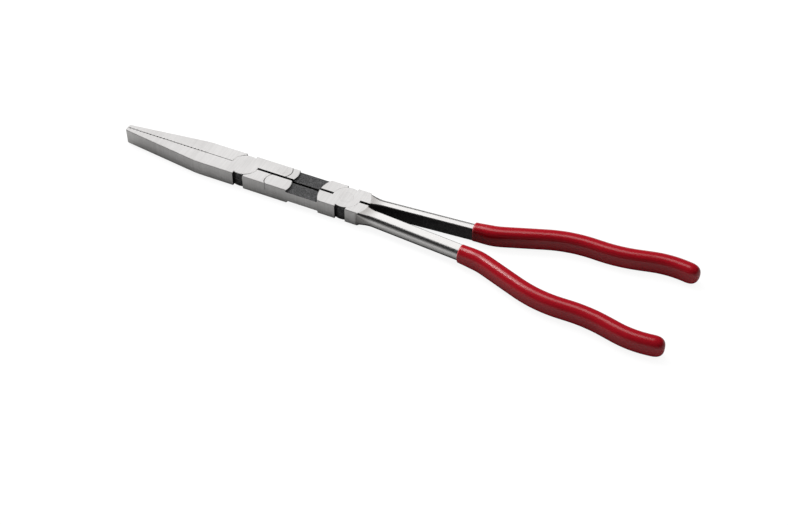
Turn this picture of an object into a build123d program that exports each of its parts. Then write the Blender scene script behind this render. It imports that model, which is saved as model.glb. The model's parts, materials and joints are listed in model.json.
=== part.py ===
from build123d import *
import os

# Long-reach double-joint pliers with a flat nose.
# Two jaw levers cross in a front lap joint, two handle levers cross in a rear lap joint,
# and two half-lap knuckles link the jaw tails to the handle tongues.
# X runs from the jaw tip to the handles, Y across the jaws, Z up through the thickness.
# The origin is the bottom centre of the closed tool's box. Lengths are in millimetres.

# ---- driving dimensions ----
overall_length = 340
grip_height = 12  # dipped grip, the thickest section: the tool rests on it
head_thickness = 9.6  # both lap joints and the jaws, ground flush
head_half_width = 9.3  # from the centre line to the ground side of the head
tip_to_front_pivot = 78.5
pivot_spacing = 65  # front pivot to rear pivot
front_pivot_to_link = 21.8  # along X, front pivot to the knuckle pins
link_y = 5.1  # knuckle pins, off the centre line

# ---- lap joints ----
disc_radius = 8.2
disc_clearance = 0.1  # round each lap disc
knuckle_clearance = 0.2  # round each link knuckle, more where the loop is opened
lap_gap = 0.1  # between the two halves of a lap
notch_half_width = 3.2  # side notches that let the levers swing

# ---- jaws ----
tip_half_width = 2.6
tip_corner_radius = 1.2
taper_length = 51  # from the tip to where the jaws become parallel
taper_bend_radius = 45
jaw_half_gap = 0.2
tooth_pitch = 2.3
tooth_depth = 0.3
tooth_crest = 1.3
tooth_count = 23
first_tooth = 1.4  # from the tip to the first groove

# ---- tails, tongues and knuckles ----
slot_half_width = 0.8
knuckle_radius = 5.7
knuckle_step_radius = 10.2  # end of the ground face, round the link pin
head_step_radius = 16.7  # front of the rear head, round the rear pivot
tongue_recess = 1.6  # forged tongue below the ground face, each side

# ---- handles ----
rear_slot_half_width = 0.9
head_end_radius = 14.2  # end of the flat head, round the rear pivot
rod_width = 6.8
rod_height = 9.4
rod_inner_radius = 1.0  # soft edges of the flat inner face
rod_outer_radius = 4.4  # the round outer side of the D section
rod_end_inset = 6  # the rod stops inside the grip
grip_width = 9.2
grip_inner_radius = 2.4
grip_outer_radius = 4.5
grip_rim_radius = 0.8
grip_end_radius = 4.0
edge_break = 0.25
eased_from_y = 3.1  # edges nearer the centre line stay sharp

# ---- rivets ----
pivot_rivet_radius = 3.2
link_rivet_radius = 2.0
rivet_head_flare = 0.8  # countersunk head, wider than the shank
countersink_angle = 90
running_clearance = 0.06
open_clearance = 0.25  # the near link pin, where the four-bar loop is opened

# ---- derived places ----
tip_x = -overall_length / 2
front_pivot_x = tip_x + tip_to_front_pivot
rear_pivot_x = front_pivot_x + pivot_spacing
link_x = front_pivot_x + front_pivot_to_link
mid_z = grip_height / 2
bottom_z = mid_z - head_thickness / 2
top_z = mid_z + head_thickness / 2
upper_z = mid_z + lap_gap / 2
half_thickness = top_z - upper_z
taper_end_x = tip_x + taper_length
front_notch_front = front_pivot_x - notch_half_width
front_notch_rear = front_pivot_x + notch_half_width
rear_notch_front = rear_pivot_x - notch_half_width
rear_notch_rear = rear_pivot_x + notch_half_width
head_end_x = rear_pivot_x + head_end_radius
flip_axis = Axis((0, 0, mid_z), (1, 0, 0))

# Centre line of the far handle in plan, measured from the rear pivot.
handle_start = (20, 5.9)
handle_bends = [(85.5, 10.9), (124.5, 25.4), (152.5, 24.6), (179, 31.1)]
handle_radii = [25, 70, 80, 50]
handle_end = (196.5, 28.7)
grip_start_x = 73.4


def strip(side, x_from, x_to, inner):
    """A straight strip of the head on one side of the centre line."""
    width = head_half_width - inner
    with Locations((x_from, side * (inner + width / 2))):
        Rectangle(x_to - x_from, width, align=(Align.MIN, Align.CENTER))


def upper_disc(x):
    """The upper half of a lap joint, round its pivot."""
    with BuildSketch(Plane.XY.offset(upper_z)) as disc:
        with Locations((x, 0)):
            Circle(disc_radius)
    extrude(disc.sketch, amount=half_thickness)


def upper_knuckle(side):
    """The upper half of a link knuckle, round its pin and no wider than the lever."""
    with BuildSketch(Plane.XY.offset(upper_z)) as knuckle:
        with Locations((link_x, side * link_y)):
            Circle(knuckle_radius)
        with Locations((link_x, side * (slot_half_width + head_half_width) / 2)):
            width = head_half_width - slot_half_width
            Rectangle(3 * knuckle_radius, width, mode=Mode.INTERSECT)
    extrude(knuckle.sketch, amount=half_thickness)


def lower_socket(x, y, radius):
    """Clear the lower half for the disc or the knuckle of the other lever."""
    with BuildSketch(Plane.XY.offset(bottom_z)) as socket:
        with Locations((x, y)):
            Circle(radius)
    extrude(socket.sketch, amount=upper_z - bottom_z, mode=Mode.SUBTRACT)


def rivet_hole(x, y, radius, clearance, side):
    """A countersunk rivet hole, entered from the top (side 1) or the underside (side -1)."""
    with Locations(Plane((x, y, mid_z + side * head_thickness / 2), z_dir=(0, 0, side))):
        CounterSinkHole(
            radius=radius + clearance,
            counter_sink_radius=radius + rivet_head_flare + clearance,
            depth=head_thickness,
            counter_sink_angle=countersink_angle,
        )


def rivet(x, y, radius):
    """A rivet peened into both countersinks and ground flush."""
    flare = rivet_head_flare
    with BuildSketch(Plane((x, y, 0), x_dir=(1, 0, 0), z_dir=(0, -1, 0))) as profile:
        with BuildLine():
            Polyline(
                (0, bottom_z),
                (radius + flare, bottom_z),
                (radius, bottom_z + flare),
                (radius, top_z - flare),
                (radius + flare, top_z),
                (0, top_z),
                close=True,
            )
        make_face()
    revolve(profile.sketch, axis=Axis((x, y, 0), (0, 0, 1)))


def handle_point(place):
    """A point of the handle's centre line in the tool's own frame."""
    return (rear_pivot_x + place[0], place[1], mid_z)


def across(point, along):
    """A plane across the handle: local x away from the centre line, local y up."""
    outward = Vector(-along.Y, along.X, 0)
    return Plane(origin=point, x_dir=outward, z_dir=along)


def d_section(plane, width, height, inner_radius, outer_radius):
    """A bar section with a flat inner face and a round outer side."""
    with BuildSketch(plane) as section:
        Rectangle(width, height)
        fillet(section.vertices().group_by(Axis.X)[0], radius=inner_radius)
        fillet(section.vertices().group_by(Axis.X)[-1], radius=outer_radius)
    return section.sketch


def ease_edges(piece, x_limit):
    """Break the outer edges of the ground top and underside, up to x_limit."""
    flat = piece.edges().filter_by_position(Axis.Z, top_z - 0.01, top_z + 0.01)
    flat += piece.edges().filter_by_position(Axis.Z, bottom_z - 0.01, bottom_z + 0.01)
    outer = [edge for edge in flat if abs(edge.center().Y) > eased_from_y and edge.center().X < x_limit]
    chamfer(outer, length=edge_break)


def write(piece, name):
    """Name a finished piece and write its STEP file."""
    piece.part.label = name
    export_step(piece.part, f"parts/{name}.step")


os.makedirs("parts", exist_ok=True)

# ---- jaw lever: toothed near jaw, upper half of the front lap, far tail ----
teeth = []
for tooth in range(tooth_count):
    groove_x = tip_x + first_tooth + tooth * tooth_pitch
    groove_width = tooth_pitch - tooth_crest
    teeth.append((groove_x, -jaw_half_gap))
    teeth.append((groove_x + groove_width / 2, -jaw_half_gap - tooth_depth))
    teeth.append((groove_x + groove_width, -jaw_half_gap))

with BuildPart() as jaw_blank:
    with BuildSketch(Plane.XY.offset(bottom_z)):
        with BuildLine():
            FilletPolyline(
                (tip_x, -jaw_half_gap),
                (tip_x, -tip_half_width),
                (taper_end_x, -head_half_width),
                (front_notch_front, -head_half_width),
                radius=[tip_corner_radius, taper_bend_radius],
            )
            Polyline(
                (front_notch_front, -head_half_width),
                (front_notch_front, -jaw_half_gap),
                *reversed(teeth),
                (tip_x, -jaw_half_gap),
            )
        make_face()
    extrude(amount=head_thickness)
    with BuildSketch(Plane.XY.offset(bottom_z)):
        strip(1, front_notch_rear, link_x, slot_half_width)
    extrude(amount=head_thickness)
    lower_socket(front_pivot_x, 0, disc_radius + disc_clearance)
    lower_socket(link_x, link_y, knuckle_radius + knuckle_clearance)
    upper_knuckle(1)
    upper_disc(front_pivot_x)
    ease_edges(jaw_blank, link_x)

# ---- the rod inside and in front of the grip ----
last_bend = Vector(*handle_bends[-1])
last_run = Vector(*handle_end) - last_bend
rod_end = last_bend + last_run.normalized() * (last_run.length - rod_end_inset)
first_run = Vector(*handle_bends[0]) - Vector(*handle_start)
grip_start_y = handle_start[1] + (grip_start_x - handle_start[0]) * first_run.Y / first_run.X
rod_direction = first_run.normalized()

with BuildLine() as rod_line:
    rod_points = [handle_start, *handle_bends, (rod_end.X, rod_end.Y)]
    FilletPolyline(*[handle_point(place) for place in rod_points], radius=handle_radii)

with BuildLine() as grip_line:
    grip_points = [(grip_start_x, grip_start_y), *handle_bends, handle_end]
    FilletPolyline(*[handle_point(place) for place in grip_points], radius=handle_radii)

with BuildPart() as rod:
    rod_plane = across(rod_line.line @ 0, rod_direction)
    rod_section = d_section(rod_plane, rod_width, rod_height, rod_inner_radius, rod_outer_radius)
    sweep(rod_section, path=rod_line.wire())

# ---- handle lever: near tongue, upper half of the rear lap, far rod ----
# Sections of the neck from inside the flat head to the rod: distance behind the rear pivot,
# centre y, width, height, inner and outer corner radius.
neck = [
    (9, 5.1, 8.2, 9.3, 0.5, 0.8),
    (13, 5.15, 8.1, 9.2, 0.6, 2.4),
    (17, 5.55, 7.2, 9.2, 0.9, 3.8),
]

with BuildPart() as handle_blank:
    with BuildSketch(Plane.XY.offset(bottom_z)):
        strip(-1, link_x, rear_notch_front, slot_half_width)
    extrude(amount=head_thickness)
    with BuildSketch(Plane.XY.offset(bottom_z)):
        strip(1, rear_notch_rear, head_end_x, rear_slot_half_width)
        with Locations((rear_pivot_x, 0)):
            Circle(head_end_radius, mode=Mode.INTERSECT)
    extrude(amount=head_thickness)
    lower_socket(link_x, -link_y, knuckle_radius + knuckle_clearance)
    for floor in (bottom_z, top_z - tongue_recess):
        with BuildSketch(Plane.XY.offset(floor)):
            strip(-1, link_x, rear_notch_front, 0)
            with Locations((link_x, -link_y)):
                Circle(knuckle_step_radius, mode=Mode.SUBTRACT)
            with Locations((rear_pivot_x, 0)):
                Circle(head_step_radius, mode=Mode.SUBTRACT)
        extrude(amount=tongue_recess, mode=Mode.SUBTRACT)
    upper_knuckle(-1)
    sections = []
    for distance, y, *shape in neck:
        sections.append(d_section(across((rear_pivot_x + distance, y, mid_z), Vector(1, 0, 0)), *shape))
    ease_edges(handle_blank, head_end_x)
    loft([*sections, rod_section])
    add(rod.part)
    lower_socket(rear_pivot_x, 0, disc_radius + disc_clearance)
    upper_disc(rear_pivot_x)

# ---- the four levers: the lower one of each pair is the upper one turned over ----
with BuildPart() as jaw_near:
    add(jaw_blank.part)
    rivet_hole(front_pivot_x, 0, pivot_rivet_radius, 0, 1)
    rivet_hole(link_x, link_y, link_rivet_radius, running_clearance, 1)

with BuildPart() as jaw_far:
    add(jaw_blank.part.rotate(flip_axis, 180))
    rivet_hole(front_pivot_x, 0, pivot_rivet_radius, running_clearance, -1)
    rivet_hole(link_x, -link_y, link_rivet_radius, open_clearance, -1)

with BuildPart() as handle_far:
    add(handle_blank.part)
    rivet_hole(rear_pivot_x, 0, pivot_rivet_radius, running_clearance, 1)
    rivet_hole(link_x, -link_y, link_rivet_radius, 0, 1)

with BuildPart() as handle_near:
    add(handle_blank.part.rotate(flip_axis, 180))
    rivet_hole(rear_pivot_x, 0, pivot_rivet_radius, 0, -1)
    rivet_hole(link_x, link_y, link_rivet_radius, 0, -1)

write(jaw_near, "jaw_near")
write(jaw_far, "jaw_far")
write(handle_far, "handle_far")
write(handle_near, "handle_near")

# ---- rivets ----
with BuildPart() as jaw_pivot_rivet:
    rivet(front_pivot_x, 0, pivot_rivet_radius)
write(jaw_pivot_rivet, "jaw_pivot_rivet")

with BuildPart() as handle_pivot_rivet:
    rivet(rear_pivot_x, 0, pivot_rivet_radius)
write(handle_pivot_rivet, "handle_pivot_rivet")

with BuildPart() as link_rivet_far:
    rivet(link_x, link_y, link_rivet_radius)
write(link_rivet_far, "link_rivet_far")

with BuildPart() as link_rivet_near:
    rivet(link_x, -link_y, link_rivet_radius)
write(link_rivet_near, "link_rivet_near")

# ---- dipped grips: a skin round the rod, closed at the end ----
with BuildPart() as grip_far:
    grip_plane = across(grip_line.line @ 0, rod_direction)
    grip_section = d_section(
        grip_plane, grip_width, grip_height, grip_inner_radius, grip_outer_radius
    )
    sweep(grip_section, path=grip_line.wire())
    fillet(grip_far.faces().sort_by(Axis.X)[-1].edges(), radius=grip_end_radius)
    fillet(grip_far.faces().sort_by(Axis.X)[0].edges(), radius=grip_rim_radius)
    add(rod.part, mode=Mode.SUBTRACT)
write(grip_far, "grip_far")

with BuildPart() as grip_near:
    add(grip_far.part.rotate(flip_axis, 180))
write(grip_near, "grip_near")
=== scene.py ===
# %% [markdown]
# # Long-reach double-joint pliers
#
# Two jaw levers cross in a front lap joint, two handle levers cross in a rear one, and two link
# knuckles join them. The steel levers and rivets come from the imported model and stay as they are:
# this lesson gives them their finishes, and builds the two dipped grips as new pieces.
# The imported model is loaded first, because every place and size below is read from it.

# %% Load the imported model
import json
import math

import bpy
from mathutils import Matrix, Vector


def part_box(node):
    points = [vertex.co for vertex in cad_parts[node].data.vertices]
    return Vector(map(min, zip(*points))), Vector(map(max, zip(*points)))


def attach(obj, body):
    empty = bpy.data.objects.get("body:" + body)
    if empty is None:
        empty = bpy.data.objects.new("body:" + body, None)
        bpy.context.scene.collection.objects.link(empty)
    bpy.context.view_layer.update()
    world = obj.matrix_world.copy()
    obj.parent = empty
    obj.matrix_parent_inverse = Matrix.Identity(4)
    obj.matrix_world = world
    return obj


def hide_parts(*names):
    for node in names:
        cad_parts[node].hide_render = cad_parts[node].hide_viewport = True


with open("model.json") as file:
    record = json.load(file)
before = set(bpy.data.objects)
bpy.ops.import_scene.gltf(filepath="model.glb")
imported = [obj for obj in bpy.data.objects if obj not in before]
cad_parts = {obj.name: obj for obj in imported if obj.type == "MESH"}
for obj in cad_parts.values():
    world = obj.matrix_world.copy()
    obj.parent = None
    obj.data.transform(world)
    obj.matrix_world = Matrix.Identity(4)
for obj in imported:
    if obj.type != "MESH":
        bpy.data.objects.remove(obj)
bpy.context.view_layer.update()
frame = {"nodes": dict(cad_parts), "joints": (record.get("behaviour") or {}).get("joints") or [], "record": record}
pivots = {joint["name"]: Vector(joint["pos_m"]) for joint in frame["joints"]}
rear_pivot = pivots["handle_pivot"]
front_pivot = pivots["jaw_pivot"]
mm = 0.001
print("nodes:", sorted(frame["nodes"]))

# %% [markdown]
# ## Camera
#
# A long tool shows best from well above and a little to one side. A lens a little longer than usual lets
# the near and the far handle keep nearly the same size. The camera is placed by what it looks at, how far
# away it is, two angles and a small roll. That is easier to read and to change than three rotations.

# %% Place the camera
look_at = Vector((17.6, -31.2, 6.0)) * mm
camera_distance = 869 * mm
camera_azimuth = math.radians(25.5)
camera_elevation = math.radians(44.6)
camera_roll = math.radians(-0.17)
focal_length = 73.5
nearest_seen = 10 * mm

toward_camera = Vector((
    math.sin(camera_azimuth) * math.cos(camera_elevation),
    -math.cos(camera_azimuth) * math.cos(camera_elevation),
    math.sin(camera_elevation),
))
camera = bpy.data.objects.new("camera", bpy.data.cameras.new("camera"))
camera.data.lens = focal_length
camera.data.clip_start = nearest_seen
camera.location = look_at + toward_camera * camera_distance
camera.rotation_euler = toward_camera.to_track_quat("Z", "Y").to_euler()
camera.rotation_euler.rotate_axis("Z", camera_roll)
bpy.context.scene.collection.objects.link(camera)
bpy.context.scene.camera = camera
bpy.context.scene.view_settings.view_transform = "Standard"
print("camera at", [round(value, 4) for value in camera.location])

# %% [markdown]
# ## A short way to write node trees
#
# Shader and geometry trees are both nodes with sockets and links. A few small helpers keep the trees
# below readable. They add a node with its settings and inputs, add a Math node, turn a value into a soft
# mask, mix two colours, and make or place a node group.


# %% Node helpers
def add(tree, kind, inputs=None, **settings):
    """Add a node. An input that is a socket is linked, and any other value is set."""
    node = tree.nodes.new(kind)
    for name, value in settings.items():
        setattr(node, name, value)
    for key, value in (inputs or {}).items():
        if isinstance(value, bpy.types.NodeSocket):
            tree.links.new(value, node.inputs[key])
        else:
            node.inputs[key].default_value = value
    return node


def calc(tree, operation, *values, clamp=False):
    """One Math node, as the socket that holds its result."""
    inputs = dict(enumerate(values))
    return add(tree, "ShaderNodeMath", inputs, operation=operation, use_clamp=clamp).outputs[0]


def times(tree, *values):
    """All the values multiplied together."""
    product = values[0]
    for value in values[1:]:
        product = calc(tree, "MULTIPLY", product, value)
    return product


def opposite(tree, mask):
    """1 where the mask is 0, and 0 where it is 1."""
    return calc(tree, "SUBTRACT", 1.0, mask)


def ramp(tree, value, start, end, low=0.0, high=1.0):
    """Low before start, high after end, and a smooth step between them."""
    inputs = {"Value": value, "From Min": start, "From Max": end, "To Min": low, "To Max": high}
    node = add(tree, "ShaderNodeMapRange", inputs, interpolation_type="SMOOTHSTEP")
    return node.outputs["Result"]


def blend_colors(tree, amount, first, second):
    """From the first colour to the second as amount goes from 0 to 1."""
    inputs = {0: amount, 6: first, 7: second}
    return add(tree, "ShaderNodeMix", inputs, data_type="RGBA").outputs[2]


def vector_calc(tree, operation, *values):
    """One Vector Math node, and its outputs."""
    inputs = dict(enumerate(values))
    return add(tree, "ShaderNodeVectorMath", inputs, operation=operation).outputs


def new_group(name, inputs, outputs, kind="ShaderNodeTree"):
    """A node group with named sockets: {name: (socket type, default)} in, {name: type} out."""
    group = bpy.data.node_groups.new(name, kind)
    for socket_name, (socket_type, default) in inputs.items():
        socket = group.interface.new_socket(socket_name, in_out="INPUT", socket_type=socket_type)
        if default is not None:
            socket.default_value = default
    for socket_name, socket_type in outputs.items():
        group.interface.new_socket(socket_name, in_out="OUTPUT", socket_type=socket_type)
    return group, add(group, "NodeGroupInput").outputs, add(group, "NodeGroupOutput").inputs


def use_group(tree, group, inputs):
    """Place a finished group in a material."""
    return add(tree, "ShaderNodeGroup", inputs, node_tree=group).outputs


print("helpers ready")

# %% [markdown]
# ## Light
#
# Polished steel shows its surroundings more than its own colour, and glossy vinyl wants one clear stripe
# of light, so each has lights of its own. A wide silk behind and above gives the ground flats and the
# rods something bright to mirror. A bright softbox, up and to the left, and a dim fill beside it light
# only the grips and the floor. Light linking keeps them apart: a light's receiver collection holds what
# it lights or, where an object is linked as excluded, what it leaves out.

# %% Softbox, fill and silk
lamp_height = 1.05
silk_height = 1.25


def area_light(name, place, width, depth, radiance):
    """An evenly bright rectangle that hangs at a place and shines straight down."""
    data = bpy.data.lights.new(name, "AREA")
    data.shape = "RECTANGLE"
    data.size = width
    data.size_y = depth
    data.energy = radiance * math.pi * width * depth
    light = bpy.data.objects.new(name, data)
    light.location = place
    light.visible_camera = False
    bpy.context.scene.collection.objects.link(light)
    return light


softbox = area_light("softbox", (-0.82, 0.36, lamp_height), width=0.74, depth=0.85, radiance=12.0)
fill = area_light("fill", (-0.18, 0.28, lamp_height), width=0.54, depth=0.6, radiance=2.4)
silk = area_light("silk", (0, 1.05, silk_height), width=7.0, depth=3.3, radiance=1.32)
softly_lit = bpy.data.collections.new("lit_by_softbox")
softbox.light_linking.receiver_collection = softly_lit
fill.light_linking.receiver_collection = softly_lit
flagged_off = bpy.data.collections.new("flagged_off_silk")
silk.light_linking.receiver_collection = flagged_off
print("lights:", [light.name for light in (softbox, fill, silk)])

# %% [markdown]
# ## Room
#
# The room round the tool is dark above and pale low round the horizon. The dark part draws the dark line
# along each rod, and the pale part keeps the sides of the tool grey where no light is mirrored. The
# camera itself sees a white room.

# %% Room
ceiling_dark = (0.025, 0.025, 0.025, 1)
horizon_pale = (0.25, 0.25, 0.25, 1)
seen_room = (0.95, 0.95, 0.95, 1)
pale_up_to = 0.14
dark_from = 0.3
world = bpy.data.worlds.new("room")
bpy.context.scene.world = world
world.use_nodes = True
room = world.node_tree
room.nodes.clear()
seen = add(room, "ShaderNodeLightPath").outputs["Is Camera Ray"]
direction = add(room, "ShaderNodeNewGeometry").outputs["Position"]
upward = add(room, "ShaderNodeSeparateXYZ", {0: direction}).outputs["Z"]
low_down = ramp(room, upward, dark_from, pale_up_to)
wall_color = blend_colors(room, low_down, ceiling_dark, horizon_pale)
wall_color = blend_colors(room, seen, wall_color, seen_room)
background = add(room, "ShaderNodeBackground", {"Color": wall_color})
add(room, "ShaderNodeOutputWorld", {"Surface": background.outputs[0]})
print("room:", world.name)

# %% [markdown]
# ## Floor
#
# The floor is a sheet of pale paper. The camera sees it glow nearly white, with a faint shadow. What the
# steel and the vinyl mirror is a dimmer sheet, darker close to the tool, where the tool keeps the light
# off it. Ambient Occlusion gives that closeness.

# %% Pale paper floor
paper_size = 6.0
paper_drop = 0.1 * mm
shadow_reach = 20 * mm
mirrored_grey = 0.33
seen_grey = (0.1, 0.1, 0.1, 1)
seen_glow = 0.9
floor_mesh = bpy.data.meshes.new("paper_floor")
half = paper_size / 2
corners = [(-half, -half), (half, -half), (half, half), (-half, half)]
floor_mesh.from_pydata([(x, y, -paper_drop) for x, y in corners], [], [(0, 1, 2, 3)])
floor = bpy.data.objects.new("paper_floor", floor_mesh)
bpy.context.scene.collection.objects.link(floor)
paper = bpy.data.materials.new("pale_paper")
paper.use_nodes = True
tree = paper.node_tree
tree.nodes.clear()
seen = add(tree, "ShaderNodeLightPath").outputs["Is Camera Ray"]
fibre = add(tree, "ShaderNodeTexNoise", {"Scale": 900.0, "Detail": 3.0}).outputs["Fac"]
tooth = add(tree, "ShaderNodeBump", {"Height": fibre, "Strength": 0.05, "Distance": 0.1 * mm})
open_sky = add(tree, "ShaderNodeAmbientOcclusion", {"Distance": shadow_reach}, samples=8)
mirrored = times(tree, calc(tree, "POWER", open_sky.outputs["AO"], 2.0), mirrored_grey)
tone = blend_colors(tree, seen, mirrored, seen_grey)
shaded = add(tree, "ShaderNodeBsdfDiffuse", {"Color": tone, "Normal": tooth.outputs[0]})
white = (1, 1, 1, 1)
glow_strength = times(tree, seen, seen_glow)
glow = add(tree, "ShaderNodeEmission", {"Color": white, "Strength": glow_strength})
lit = add(tree, "ShaderNodeAddShader", {0: shaded.outputs[0], 1: glow.outputs[0]})
add(tree, "ShaderNodeOutputMaterial", {"Surface": lit.outputs[0]})
floor.data.materials.append(paper)
softly_lit.objects.link(floor)
print("floor:", paper_size, "m square")

# %% [markdown]
# ## Effects shared by the steel finishes
#
# The levers are drop forgings. The flats are ground on a belt, which leaves fine lines across the
# tool. The recesses keep the dark scale of the forge. Every edge is made brighter, partly worn by
# handling and partly as a painted highlight. Each of these is a node group, built once and used in
# every material that shows it. The dark colour of the scale is also painted as shade in the notches,
# on the steps and between the parts.


# %% Fine grinding lines
def make_grinding_lines():
    """Fine lines across the tool, bowed a little by the belt."""
    sockets = {
        "Vector": ("NodeSocketVector", None),
        "Lines per Metre": ("NodeSocketFloat", 2500.0),
        "Bow": ("NodeSocketFloat", 3.0),
    }
    outputs = {"Fine": "NodeSocketFloat", "Broad": "NodeSocketFloat"}
    group, given, result = new_group("grinding_lines", sockets, outputs)
    place = add(group, "ShaderNodeSeparateXYZ", {0: given["Vector"]}).outputs
    bow = times(group, place["Y"], place["Y"], given["Bow"])
    bowed = calc(group, "ADD", place["X"], bow)
    for name, share, stretch in (("Fine", 1.0, 0.02), ("Broad", 0.22, 0.06)):
        count = times(group, given["Lines per Metre"], share)
        along = times(group, count, stretch)
        stretched = add(group, "ShaderNodeCombineXYZ", {
            "X": times(group, bowed, count),
            "Y": times(group, place["Y"], along),
            "Z": times(group, place["Z"], along),
        }).outputs[0]
        noise = add(group, "ShaderNodeTexNoise", {"Vector": stretched, "Scale": 1.0, "Detail": 3.0})
        group.links.new(noise.outputs["Fac"], result[name])
    return group


grinding_lines = make_grinding_lines()
print("group:", grinding_lines.name)


# %% Worn edges and painted edge highlight
def make_worn_edge_highlight():
    """High on edges, broken up a little: the face normal against a rounded one. It marks edges worn bright, and a
    painted edge highlight.
    """
    sockets = {
        "Vector": ("NodeSocketVector", None),
        "Radius": ("NodeSocketFloat", 0.12 * mm),
        "Break Up": ("NodeSocketFloat", 0.4),
    }
    group, given, result = new_group("worn_edge_highlight", sockets, {"Mask": "NodeSocketFloat"})
    rounded = add(group, "ShaderNodeBevel", {"Radius": given["Radius"]}, samples=6).outputs[0]
    flat = add(group, "ShaderNodeNewGeometry").outputs["Normal"]
    agreement = vector_calc(group, "DOT_PRODUCT", rounded, flat)["Value"]
    edge = ramp(group, agreement, 0.99, 0.85)
    noise = add(group, "ShaderNodeTexNoise", {"Vector": given["Vector"], "Scale": 900.0, "Detail": 4.0})
    keep = opposite(group, times(group, given["Break Up"], noise.outputs["Fac"]))
    group.links.new(calc(group, "MULTIPLY", edge, keep, clamp=True), result["Mask"])
    return group


worn_edge_highlight = make_worn_edge_highlight()
print("group:", worn_edge_highlight.name)


# %% Handling marks
def make_handling_marks():
    """Soft cloudy smudges and a few small specks, as fingers and oil leave."""
    sockets = {"Vector": ("NodeSocketVector", None), "Scale": ("NodeSocketFloat", 60.0)}
    outputs = {"Smudge": "NodeSocketFloat", "Specks": "NodeSocketFloat"}
    group, given, result = new_group("handling_marks", sockets, outputs)
    cloud = add(group, "ShaderNodeTexNoise", {
        "Vector": given["Vector"], "Scale": given["Scale"], "Detail": 5.0, "Roughness": 0.6,
    })
    group.links.new(ramp(group, cloud.outputs["Fac"], 0.3, 0.7), result["Smudge"])
    speck_scale = times(group, given["Scale"], 14.0)
    dots = add(group, "ShaderNodeTexVoronoi", {"Vector": given["Vector"], "Scale": speck_scale})
    group.links.new(ramp(group, dots.outputs["Distance"], 0.16, 0.06), result["Specks"])
    return group


handling_marks = make_handling_marks()
print("group:", handling_marks.name)


# %% Forge scale
def make_forge_scale():
    """The dark, pitted skin that a forging keeps where nobody grinds it."""
    sockets = {"Vector": ("NodeSocketVector", None), "Pit Scale": ("NodeSocketFloat", 1400.0)}
    outputs = {"Tone": "NodeSocketFloat", "Height": "NodeSocketFloat"}
    group, given, result = new_group("forge_scale", sockets, outputs)
    noise = add(group, "ShaderNodeTexNoise", {
        "Vector": given["Vector"], "Scale": given["Pit Scale"], "Detail": 5.0, "Roughness": 0.65,
    })
    patch_scale = times(group, given["Pit Scale"], 0.25)
    patches = add(group, "ShaderNodeTexNoise", {
        "Vector": given["Vector"], "Scale": patch_scale, "Detail": 3.0,
    })
    height = ramp(group, noise.outputs["Fac"], 0.35, 0.65)
    mottled = times(group, height, ramp(group, patches.outputs["Fac"], 0.3, 0.7, 0.55, 1.0))
    group.links.new(height, result["Height"])
    group.links.new(mottled, result["Tone"])
    return group


forge_scale = make_forge_scale()
print("group:", forge_scale.name)

# %% [markdown]
# ## Where each finish lies
#
# One lever carries several finishes: ground flats, satin outer sides, dark forged recesses and, on the
# handles, a polished rod. The rod's neck just behind the head is given painted shade, and its flat inner
# side is made near black. The notches, the steps and the inward faces between the parts get painted
# shade in the dark colour of the recesses. The finishes meet at edges of the shape, so the position and
# the direction of a face say which one it has. This group turns both into masks.

# %% Masks from place and direction
half_head = 4.8 * mm
notch_half_width = 3.3 * mm
head_end_radius = 14.2 * mm
neck_shade_length = 10 * mm
rod_from = rear_pivot.x + 8 * mm
link_x = pivots["far_link_pivot"].x


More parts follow.
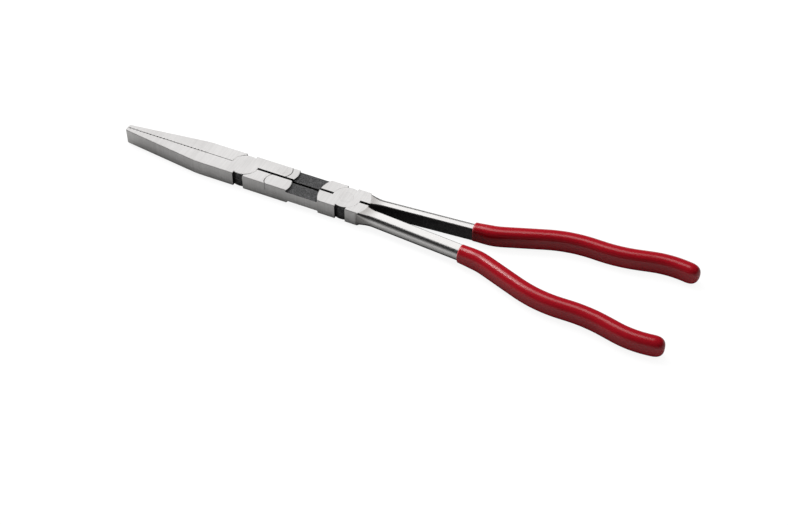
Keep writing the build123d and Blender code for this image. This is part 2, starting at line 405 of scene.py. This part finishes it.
def make_zones():
    """Ground, Rod, Neck and Dark masks of a lever."""
    sockets = {"Position": ("NodeSocketVector", None), "Normal": ("NodeSocketVector", None)}
    outputs = {name: "NodeSocketFloat" for name in ("Ground", "Rod", "Neck Shade", "Dark")}
    group, given, result = new_group("lever_zones", sockets, outputs)
    place = add(group, "ShaderNodeSeparateXYZ", {0: given["Position"]}).outputs
    facing = add(group, "ShaderNodeSeparateXYZ", {0: given["Normal"]}).outputs
    up = calc(group, "ABSOLUTE", facing["Z"])
    lengthwise = calc(group, "ABSOLUTE", facing["X"])
    outward = times(group, facing["Y"], calc(group, "SIGN", place["Y"]))
    off_middle = calc(group, "ABSOLUTE", calc(group, "SUBTRACT", place["Z"], rear_pivot.z))

    # Ground: faces that point up or down, at the full height of the head.
    on_flat = ramp(group, off_middle, half_head - 0.5 * mm, half_head - 0.3 * mm)
    ground = times(group, ramp(group, up, 0.8, 0.9), on_flat)

    # Rod: past the round end of the head's flat, and past the same arc on the head's sides.
    from_rear = vector_calc(group, "SUBTRACT", given["Position"], rear_pivot)[0]
    level = vector_calc(group, "MULTIPLY", from_rear, (1, 1, 0))[0]
    radius = vector_calc(group, "LENGTH", level)["Value"]
    past_end = ramp(group, radius, head_end_radius - 0.1 * mm, head_end_radius + 0.3 * mm)
    below_flat = ramp(group, off_middle, half_head - 0.3 * mm, half_head - 0.6 * mm)
    beside_end = times(group, below_flat, ramp(group, radius, 13 * mm, 14 * mm))
    behind_head = calc(group, "GREATER_THAN", place["X"], rod_from)
    rod = times(group, behind_head, calc(group, "MAXIMUM", past_end, beside_end))
    # The neck gets painted shade just behind the head's flat, fading out along the rod.
    neck = times(group, rod, ramp(group, radius, head_end_radius + neck_shade_length, head_end_radius))

    # Dark: the sunk flats of the tongues keep forge scale. The cheeks inside the notches, the steps and
    # the inward faces between the parts get painted shade, and the rod's flat inner side is made near black.
    behind_front = ramp(group, place["X"], front_pivot.x, front_pivot.x + 1 * mm)
    inner = times(group, behind_front, ramp(group, outward, -0.55, -0.85))
    notch = 0.0
    for pivot in (front_pivot, rear_pivot):
        from_pivot = calc(group, "ABSOLUTE", calc(group, "SUBTRACT", place["X"], pivot.x))
        inside = ramp(group, from_pivot, notch_half_width, notch_half_width - 0.1 * mm)
        notch = calc(group, "MAXIMUM", notch, inside)
    cheek = times(group, ramp(group, up, 0.5, 0.3), notch)
    not_rod = opposite(group, rod)
    step = times(group, behind_front, ramp(group, lengthwise, 0.75, 0.9), not_rod)
    behind_links = ramp(group, place["X"], link_x, link_x + 1 * mm)
    sunk = times(group, behind_links, ramp(group, up, 0.6, 0.8), opposite(group, on_flat), not_rod)
    dark = inner
    for mask in (cheek, step, sunk):
        dark = calc(group, "MAXIMUM", dark, mask)

    group.links.new(ground, result["Ground"])
    group.links.new(rod, result["Rod"])
    group.links.new(neck, result["Neck Shade"])
    group.links.new(dark, result["Dark"])
    return group


lever_zones = make_zones()
print("group:", lever_zones.name)

# %% [markdown]
# ## Steel
#
# The jaws, the handles and the rivets are one steel with slightly different polish, so one function
# builds all three materials. The flats get their lines as colour, gloss and height together, because
# real grinding changes all three.

# %% Tones of the steel
flat_tone = (0.64, 0.63, 0.625, 1)
side_tone = (0.66, 0.65, 0.64, 1)
rivet_tone = (0.63, 0.62, 0.615, 1)
rod_tone = (0.7, 0.69, 0.68, 1)
# The neck tone is painted shade, on the rod just behind the head.
neck_shade_tone = (0.2, 0.185, 0.175, 1)
line_shadow = (0.0, 0.0, 0.0, 1)
smudge_tone = (0.3, 0.28, 0.26, 1)
# The edge colour is partly steel worn bright, partly a painted highlight.
worn_highlight_tone = (0.78, 0.76, 0.75, 1)
# Forge scale colour, also used as painted shade in the notches, on the steps and between the parts.
scale_and_shade_tones = ((0.038, 0.038, 0.039, 1), (0.15, 0.15, 0.152, 1))
inner_rod_tones = ((0.09, 0.087, 0.087, 1), (0.22, 0.214, 0.214, 1))
print("steel tones: flat", flat_tone[:3], "side", side_tone[:3], "rod", rod_tone[:3])


# %% Steel materials
def make_steel(name, top_tone, top_gloss, side_gloss):
    """A forged steel lever: ground flats, satin sides, polished rod, dark recesses and painted shade."""
    material = bpy.data.materials.new(name)
    material.use_nodes = True
    tree = material.node_tree
    tree.nodes.clear()
    coordinates = add(tree, "ShaderNodeTexCoord").outputs
    place = coordinates["Object"]
    zones = use_group(tree, lever_zones, {"Position": place, "Normal": coordinates["Normal"]})
    lines = use_group(tree, grinding_lines, {"Vector": place})
    worn_highlight = use_group(tree, worn_edge_highlight, {"Vector": place})
    marks = use_group(tree, handling_marks, {"Vector": place})
    scale = use_group(tree, forge_scale, {"Vector": place})
    polished = times(tree, zones["Rod"], opposite(tree, zones["Dark"]))

    # The grinding lines nearly disappear on the rod.
    lined = ramp(tree, zones["Rod"], 0.0, 1.0, 1.0, 0.12)
    line_tone = calc(tree, "ADD", times(tree, lines["Fine"], 0.75), times(tree, lines["Broad"], 0.25))
    darkening = times(tree, ramp(tree, line_tone, 0.38, 0.62, 0.09, 0.0), lined)

    # Colour, from the widest zone to the marks on top of it.
    tone = blend_colors(tree, zones["Ground"], side_tone, top_tone)
    tone = blend_colors(tree, polished, tone, rod_tone)
    # Painted shade on the rod's neck, just behind the head.
    tone = blend_colors(tree, times(tree, zones["Neck Shade"], 0.65), tone, neck_shade_tone)
    tone = blend_colors(tree, darkening, tone, line_shadow)
    tone = blend_colors(tree, times(tree, marks["Smudge"], 0.08), tone, smudge_tone)
    # Dark zones: forge scale and painted shade in one colour; the rod's flat inner side is made near black.
    scale_and_shade = blend_colors(tree, scale["Tone"], *scale_and_shade_tones)
    inner_rod = blend_colors(tree, scale["Tone"], *inner_rod_tones)
    tone = blend_colors(tree, zones["Dark"], tone, blend_colors(tree, zones["Rod"], scale_and_shade, inner_rod))
    # Edges made brighter: partly worn by handling, partly a painted highlight.
    tone = blend_colors(tree, times(tree, worn_highlight["Mask"], 0.5), tone, worn_highlight_tone)

    # Roughness: smooth on the rod, rough in the recesses.
    gloss = ramp(tree, zones["Ground"], 0.0, 1.0, side_gloss, top_gloss)
    gloss = calc(tree, "ADD", gloss, times(tree, lines["Fine"], 0.08))
    gloss = ramp(tree, polished, 0.0, 1.0, gloss, 0.2)
    gloss = calc(tree, "ADD", gloss, times(tree, marks["Smudge"], 0.05))
    gloss = ramp(tree, zones["Dark"], 0.0, 1.0, gloss, 0.5)

    line_height = times(tree, line_tone, lined, 0.25)
    height = calc(tree, "ADD", line_height, times(tree, scale["Height"], zones["Dark"]))
    bump = add(tree, "ShaderNodeBump", {"Height": height, "Strength": 0.6, "Distance": 0.03 * mm})
    shader = add(tree, "ShaderNodeBsdfPrincipled", {
        "Base Color": tone, "Roughness": gloss, "Metallic": 1.0, "Normal": bump.outputs[0],
    })
    add(tree, "ShaderNodeOutputMaterial", {"Surface": shader.outputs[0]})
    return material


finishes = {
    "jaw_steel": make_steel("ground_jaw_steel", flat_tone, top_gloss=0.3, side_gloss=0.36),
    "handle_steel": make_steel("polished_handle_steel", flat_tone, top_gloss=0.3, side_gloss=0.32),
    "rivet_steel": make_steel("flush_rivet_steel", rivet_tone, top_gloss=0.31, side_gloss=0.36),
}
steel_parts = [part for part in frame["record"]["subparts"] if part["material_slot"] in finishes]
for part in steel_parts:
    frame["nodes"][part["node"]].material_slots[0].material = finishes[part["material_slot"]]
print("steel on", [part["node"] for part in steel_parts])

# %% [markdown]
# ## Grip vinyl
#
# The grips are dipped: a hot handle goes into liquid vinyl, which sets as a thick glossy skin. It is
# thinner at its rim, where the red looks lighter. The mesh stores how far each point is from the rim,
# and the material reads that attribute.

# %% Vinyl material
deep_reds = ((0.52, 0.008, 0.020, 1), (0.47, 0.006, 0.016, 1))
rim_red = (0.75, 0.14, 0.15, 1)
smooth_gloss = 0.215
smudged_gloss = 0.23
vinyl = bpy.data.materials.new("dipped_red_vinyl")
vinyl.use_nodes = True
tree = vinyl.node_tree
tree.nodes.clear()
place = add(tree, "ShaderNodeTexCoord").outputs["Object"]
from_rim = add(tree, "ShaderNodeAttribute", attribute_name="from_rim").outputs["Fac"]
marks = use_group(tree, handling_marks, {"Vector": place, "Scale": 45.0})
cloud = add(tree, "ShaderNodeTexNoise", {"Vector": place, "Scale": 35.0, "Detail": 3.0}).outputs["Fac"]
red = blend_colors(tree, cloud, *deep_reds)
thin = ramp(tree, from_rim, 0.3 * mm, 1.1 * mm, 0.75, 0.0)
red = blend_colors(tree, thin, red, rim_red)
skin = add(tree, "ShaderNodeTexNoise", {"Vector": place, "Scale": 260.0, "Detail": 2.0}).outputs["Fac"]
skin_height = calc(tree, "ADD", skin, times(tree, marks["Specks"], 0.3))
peel = add(tree, "ShaderNodeBump", {"Height": skin_height, "Strength": 0.02, "Distance": 0.02 * mm})
shader = add(tree, "ShaderNodeBsdfPrincipled", {
    "Base Color": red,
    "Roughness": ramp(tree, marks["Smudge"], 0.0, 1.0, smooth_gloss, smudged_gloss),
    "Normal": peel.outputs[0],
})
add(tree, "ShaderNodeOutputMaterial", {"Surface": shader.outputs[0]})
print("material:", vinyl.name)

# %% [markdown]
# ## Dipped grips
#
# A dipped grip has one rule from end to end: a soft section, rounder outside than inside, follows the
# handle's bends. It is thinner where it leaves the rod, full in the hand, and closed by a rounded end.
# Lofting it by hand would take many rings, so Geometry Nodes make it instead. The tree bends a flat grid
# round the route. One side of the grid counts round the section, and the other runs out along the inner
# wall, over the rim and down the outer skin to the end.

# %% The handle's route
# In millimetres from the rear pivot, along the tool and out to the side.
grip_start_x = 73.4
handle_start = Vector((20, 5.9))
bend_places = ((85.5, 10.9), (124.5, 25.4), (152.5, 24.6), (179, 31.1))
handle_bends = [Vector(place) for place in bend_places]
handle_radii = [25, 70, 80, 50]
handle_end = Vector((196.5, 28.7))
first_slope = (handle_bends[0].y - handle_start.y) / (handle_bends[0].x - handle_start.x)
grip_start = Vector((grip_start_x, handle_start.y + (grip_start_x - handle_start.x) * first_slope))


def rounded_route(points, radii):
    """Bezier knots, (place, handle before, handle after), that turn each corner as an arc."""
    knots = [[points[0], points[0], None]]
    for before, corner, after, radius in zip(points, points[1:], points[2:], radii):
        arriving = (corner - before).normalized()
        leaving = (after - corner).normalized()
        turn = arriving.angle(leaving)
        trim = radius * math.tan(turn / 2)
        reach = radius * math.tan(turn / 4) * 4 / 3
        arc_start = corner - arriving * trim
        arc_end = corner + leaving * trim
        knots.append([arc_start, None, arc_start + arriving * reach])
        knots.append([arc_end, arc_end - leaving * reach, None])
    knots.append([points[-1], None, points[-1]])
    for knot, following in zip(knots, knots[1:]):
        if knot[2] is None:
            knot[2] = knot[0].lerp(following[0], 1 / 3)
            following[1] = following[0].lerp(knot[0], 1 / 3)
    return knots


def route_curve(name, side):
    """The grip's centre line as a Bezier curve, on the far side (1) or the near side (-1)."""
    data = bpy.data.curves.new(name, "CURVE")
    data.dimensions = "3D"
    data.resolution_u = 48
    knots = rounded_route([grip_start, *handle_bends, handle_end], handle_radii)
    spline = data.splines.new("BEZIER")
    spline.bezier_points.add(len(knots) - 1)
    for point, places in zip(spline.bezier_points, knots):
        point.handle_left_type = point.handle_right_type = "FREE"
        placed = [rear_pivot + Vector((place.x, side * place.y, 0)) * mm for place in places]
        point.co, point.handle_left, point.handle_right = placed
    return bpy.data.objects.new(name, data)


print("route bends:", len(handle_bends))

# %% [markdown]
# ## The grip tree
#
# The sizes are named inputs of the tree, so one tree serves both grips and each could be given other
# sizes. A point's place on the grid gives two numbers, how far along and how far round. Everything
# else is worked out from them.


# %% Geometry tree of a dipped grip
def corner_pull(tree, value):
    """Near -1 or 1 except close to zero: it pushes a circle's points out into soft corners."""
    softness = 0.08
    root = calc(tree, "SQRT", calc(tree, "ADD", times(tree, value, value), softness))
    return calc(tree, "DIVIDE", times(tree, value, math.sqrt(1 + softness)), root)


def reach_out(tree, size, corner, direction):
    """How far a point lies from the middle, on a section of this size and corner radius."""
    straight = calc(tree, "SUBTRACT", times(tree, size, 0.5), corner)
    rounding = times(tree, corner, direction)
    return calc(tree, "MULTIPLY_ADD", straight, corner_pull(tree, direction), rounding)


def between(tree, amount, low, high):
    """From low to high as amount goes from 0 to 1."""
    inputs = {"Value": amount, "To Min": low, "To Max": high}
    return add(tree, "ShaderNodeMapRange", inputs).outputs["Result"]


def make_grip_tree():
    """A closed sleeve on a route: inner wall, rolled rim, swelling skin and rounded end."""
    size = "NodeSocketFloat"
    sockets = {
        "Route": ("NodeSocketGeometry", None),
        "Side": (size, 1.0),
        "Width": (size, 9.2 * mm),
        "Height": (size, 12 * mm),
        "Inner Corner": (size, 3.9 * mm),
        "Outer Corner": (size, 4.6 * mm),
        "Rod Width": (size, 6.8 * mm),
        "Rod Height": (size, 9.4 * mm),
        "Rod Inner Corner": (size, 1.0 * mm),
        "Rod Outer Corner": (size, 4.4 * mm),
        "Rim Share": (size, 0.65),
        "Rim Roll": (size, 0.8 * mm),
        "Swell Length": (size, 11 * mm),
        "End Length": (size, 7 * mm),
        "Unevenness": (size, 0.012),
        "Seed": (size, 3.0),
        "Rings": ("NodeSocketInt", 300),
        "Round": ("NodeSocketInt", 72),
        "Material": ("NodeSocketMaterial", None),
    }
    outputs = {"Grip": "NodeSocketGeometry"}
    tree, given, result = new_group("dipped_grip", sockets, outputs, "GeometryNodeTree")

    # The route, resampled finely and eased so that bends start and stop softly.
    finely = {"Curve": given["Route"], "Length": 0.5 * mm}
    route = add(tree, "GeometryNodeResampleCurve", finely, mode="LENGTH")
    here = add(tree, "GeometryNodeInputPosition").outputs[0]
    reached = add(tree, "GeometryNodeSplineParameter").outputs["Length"]
    total = add(tree, "GeometryNodeCurveLength", {0: route.outputs[0]}).outputs[0]
    to_nearer_end = calc(tree, "MINIMUM", reached, calc(tree, "SUBTRACT", total, reached))
    free = ramp(tree, to_nearer_end, 0.0, 6 * mm)
    easing = {"Iterations": 20, "Weight": free}
    eased = add(tree, "GeometryNodeBlurAttribute", easing, data_type="FLOAT_VECTOR")
    values = [socket for socket in eased.inputs if socket.name == "Value"]
    tree.links.new(here, next(socket for socket in values if socket.type == "VECTOR"))
    eased_place = next(socket for socket in eased.outputs if socket.type == "VECTOR")
    moved = {"Geometry": route.outputs[0], "Position": eased_place}
    route = add(tree, "GeometryNodeSetPosition", moved)
    length = add(tree, "GeometryNodeCurveLength", {0: route.outputs[0]}).outputs[0]

    # The grid: along runs in, out over the rim and down the skin, and turn goes round.
    columns = calc(tree, "ADD", given["Round"], 1.0)
    grid = add(tree, "GeometryNodeMeshGrid", {
        "Size X": 1.0, "Size Y": 1.0, "Vertices X": given["Rings"], "Vertices Y": columns,
    }).outputs["Mesh"]
    flat = add(tree, "ShaderNodeSeparateXYZ", {0: here}).outputs
    along = calc(tree, "ADD", flat["X"], 0.5)
    turn = times(tree, calc(tree, "ADD", flat["Y"], 0.5), math.tau)
    floor_to = 0.01
    rim_at = 0.12
    socket_depth = 0.93
    station_in = add(tree, "ShaderNodeMapRange", {
        "Value": along, "From Min": floor_to, "From Max": rim_at, "To Min": socket_depth, "To Max": 0.0,
    }).outputs["Result"]
    station = calc(tree, "ADD", station_in, ramp(tree, along, rim_at, 1.0))
    on_skin = calc(tree, "GREATER_THAN", along, rim_at + 0.0001)
    distance = times(tree, station, length)

    # Wall: 0 on the inner wall, a quarter circle over the rim, then a swell to the full skin.
    before_roll = opposite(tree, calc(tree, "DIVIDE", distance, given["Rim Roll"], clamp=True))
    roll = calc(tree, "SQRT", opposite(tree, times(tree, before_roll, before_roll)))
    swell = ramp(tree, distance, 0.0, given["Swell Length"], given["Rim Share"], 1.0)
    wall = times(tree, roll, swell, on_skin)
    width = between(tree, wall, given["Rod Width"], given["Width"])
    height = between(tree, wall, given["Rod Height"], given["Height"])
    inner_corner = between(tree, wall, given["Rod Inner Corner"], given["Inner Corner"])
    outer_corner = between(tree, wall, given["Rod Outer Corner"], given["Outer Corner"])

    # Both ends close to a point: the skin as a rounded end, the inner wall as a flat floor.
    to_end = calc(tree, "SUBTRACT", length, distance)
    into_end = opposite(tree, calc(tree, "DIVIDE", to_end, given["End Length"], clamp=True))
    fullness = 2.7
    dome = calc(tree, "SUBTRACT", 1.0, calc(tree, "POWER", into_end, fullness), clamp=True)
    dome = calc(tree, "POWER", dome, 1 / fullness)
    dome = between(tree, on_skin, 1.0, dome)
    closing = times(tree, dome, calc(tree, "DIVIDE", along, floor_to, clamp=True))

    # Section: a circle pushed out to soft corners, larger ones on the outer side. Side turns the
    # outer side away from the other grip.
    across = calc(tree, "COSINE", turn)
    upward = calc(tree, "SINE", turn)
    outer = calc(tree, "GREATER_THAN", across, 0.0)
    corner = between(tree, outer, inner_corner, outer_corner)
    sideways = reach_out(tree, width, corner, across)
    rise = reach_out(tree, height, corner, upward)

    # Sweep the section along the route.
    sample = add(tree, "GeometryNodeSampleCurve", {"Curves": route.outputs[0], "Factor": station})
    middle = sample.outputs["Position"]
    heading = add(tree, "ShaderNodeSeparateXYZ", {0: sample.outputs["Tangent"]}).outputs
    outward = add(tree, "ShaderNodeCombineXYZ", {
        "X": times(tree, heading["Y"], -1.0, given["Side"]),
        "Y": times(tree, heading["X"], given["Side"]),
    }).outputs[0]
    waves = {"Vector": middle, "W": given["Seed"], "Scale": 55.0, "Detail": 1.0}
    uneven = add(tree, "ShaderNodeTexNoise", waves, noise_dimensions="4D")
    slack = times(tree, uneven.outputs["Fac"], given["Unevenness"], wall)
    scale = times(tree, closing, opposite(tree, slack))
    spread = {0: outward, "Scale": times(tree, sideways, scale)}
    aside = add(tree, "ShaderNodeVectorMath", spread, operation="SCALE").outputs[0]
    lift = add(tree, "ShaderNodeCombineXYZ", {"Z": times(tree, rise, scale)}).outputs[0]
    offset = vector_calc(tree, "ADD", aside, lift)[0]
    place = vector_calc(tree, "ADD", middle, offset)[0]

    marked = add(tree, "GeometryNodeStoreNamedAttribute", {
        "Geometry": grid, "Name": "from_rim", "Value": distance,
    }, data_type="FLOAT", domain="POINT")
    bent = add(tree, "GeometryNodeSetPosition", {"Geometry": marked.outputs[0], "Position": place})
    joined = {"Geometry": bent.outputs[0], "Distance": 0.001 * mm}
    closed = add(tree, "GeometryNodeMergeByDistance", joined)
    is_near = calc(tree, "LESS_THAN", given["Side"], 0.0)
    turned = add(tree, "GeometryNodeFlipFaces", {"Mesh": closed.outputs[0], "Selection": is_near})
    smooth = add(tree, "GeometryNodeSetShadeSmooth", {"Geometry": turned.outputs[0]})
    real = add(tree, "GeometryNodeRealizeInstances", {"Geometry": smooth.outputs[0]})
    coat = {"Geometry": real.outputs[0], "Material": given["Material"]}
    coated = add(tree, "GeometryNodeSetMaterial", coat)
    tree.links.new(coated.outputs[0], result["Grip"])
    return tree


grip_tree = make_grip_tree()
print("tree inputs:", [item.name for item in grip_tree.interface.items_tree if item.in_out == "INPUT"])

# %% [markdown]
# ## Build both grips
#
# The tree runs on each route. The evaluated result is copied to a plain mesh, so nothing live is left
# on the piece, and the piece then takes its CAD solid's place and rides on its lever. Each grip is also
# linked to the lights: the softbox and the fill reach it, and the silk is kept off it.


# %% Two grips from one tree
middle_seed = 3.0


def set_input(modifier, tree, name, value):
    """Set a modifier's input by its socket's identifier."""
    inputs = [item for item in tree.interface.items_tree if item.in_out == "INPUT"]
    modifier[next(item for item in inputs if item.name == name).identifier] = value


def make_grip(name, side):
    """One grip as a plain mesh object."""
    route = route_curve(name + "_route", side)
    bpy.context.scene.collection.objects.link(route)
    modifier = route.modifiers.new("grip", "NODES")
    modifier.node_group = grip_tree
    set_input(modifier, grip_tree, "Side", float(side))
    set_input(modifier, grip_tree, "Seed", middle_seed + side)
    set_input(modifier, grip_tree, "Material", vinyl)
    evaluated = route.evaluated_get(bpy.context.evaluated_depsgraph_get())
    mesh = bpy.data.meshes.new_from_object(evaluated)
    bpy.data.objects.remove(route)
    grip = bpy.data.objects.new(name, mesh)
    bpy.context.scene.collection.objects.link(grip)
    return grip


for side, end in ((1, "far"), (-1, "near")):
    grip = make_grip(f"dipped_grip_{end}", side)
    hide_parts(f"grip_{end}")
    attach(grip, f"handle_{end}")
    softly_lit.objects.link(grip)
    flagged_off.objects.link(grip)
    flagged_off.collection_objects[-1].light_linking.link_state = "EXCLUDE"
    low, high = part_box(f"grip_{end}")
    places = [vertex.co for vertex in grip.data.vertices]
    print(grip.name, len(grip.data.polygons), "faces",
          "cad", [round(v / mm, 2) for v in (*low, *high)],
          "mesh", [round(f(p[i] for p in places) / mm, 2) for f in (min, max) for i in range(3)])
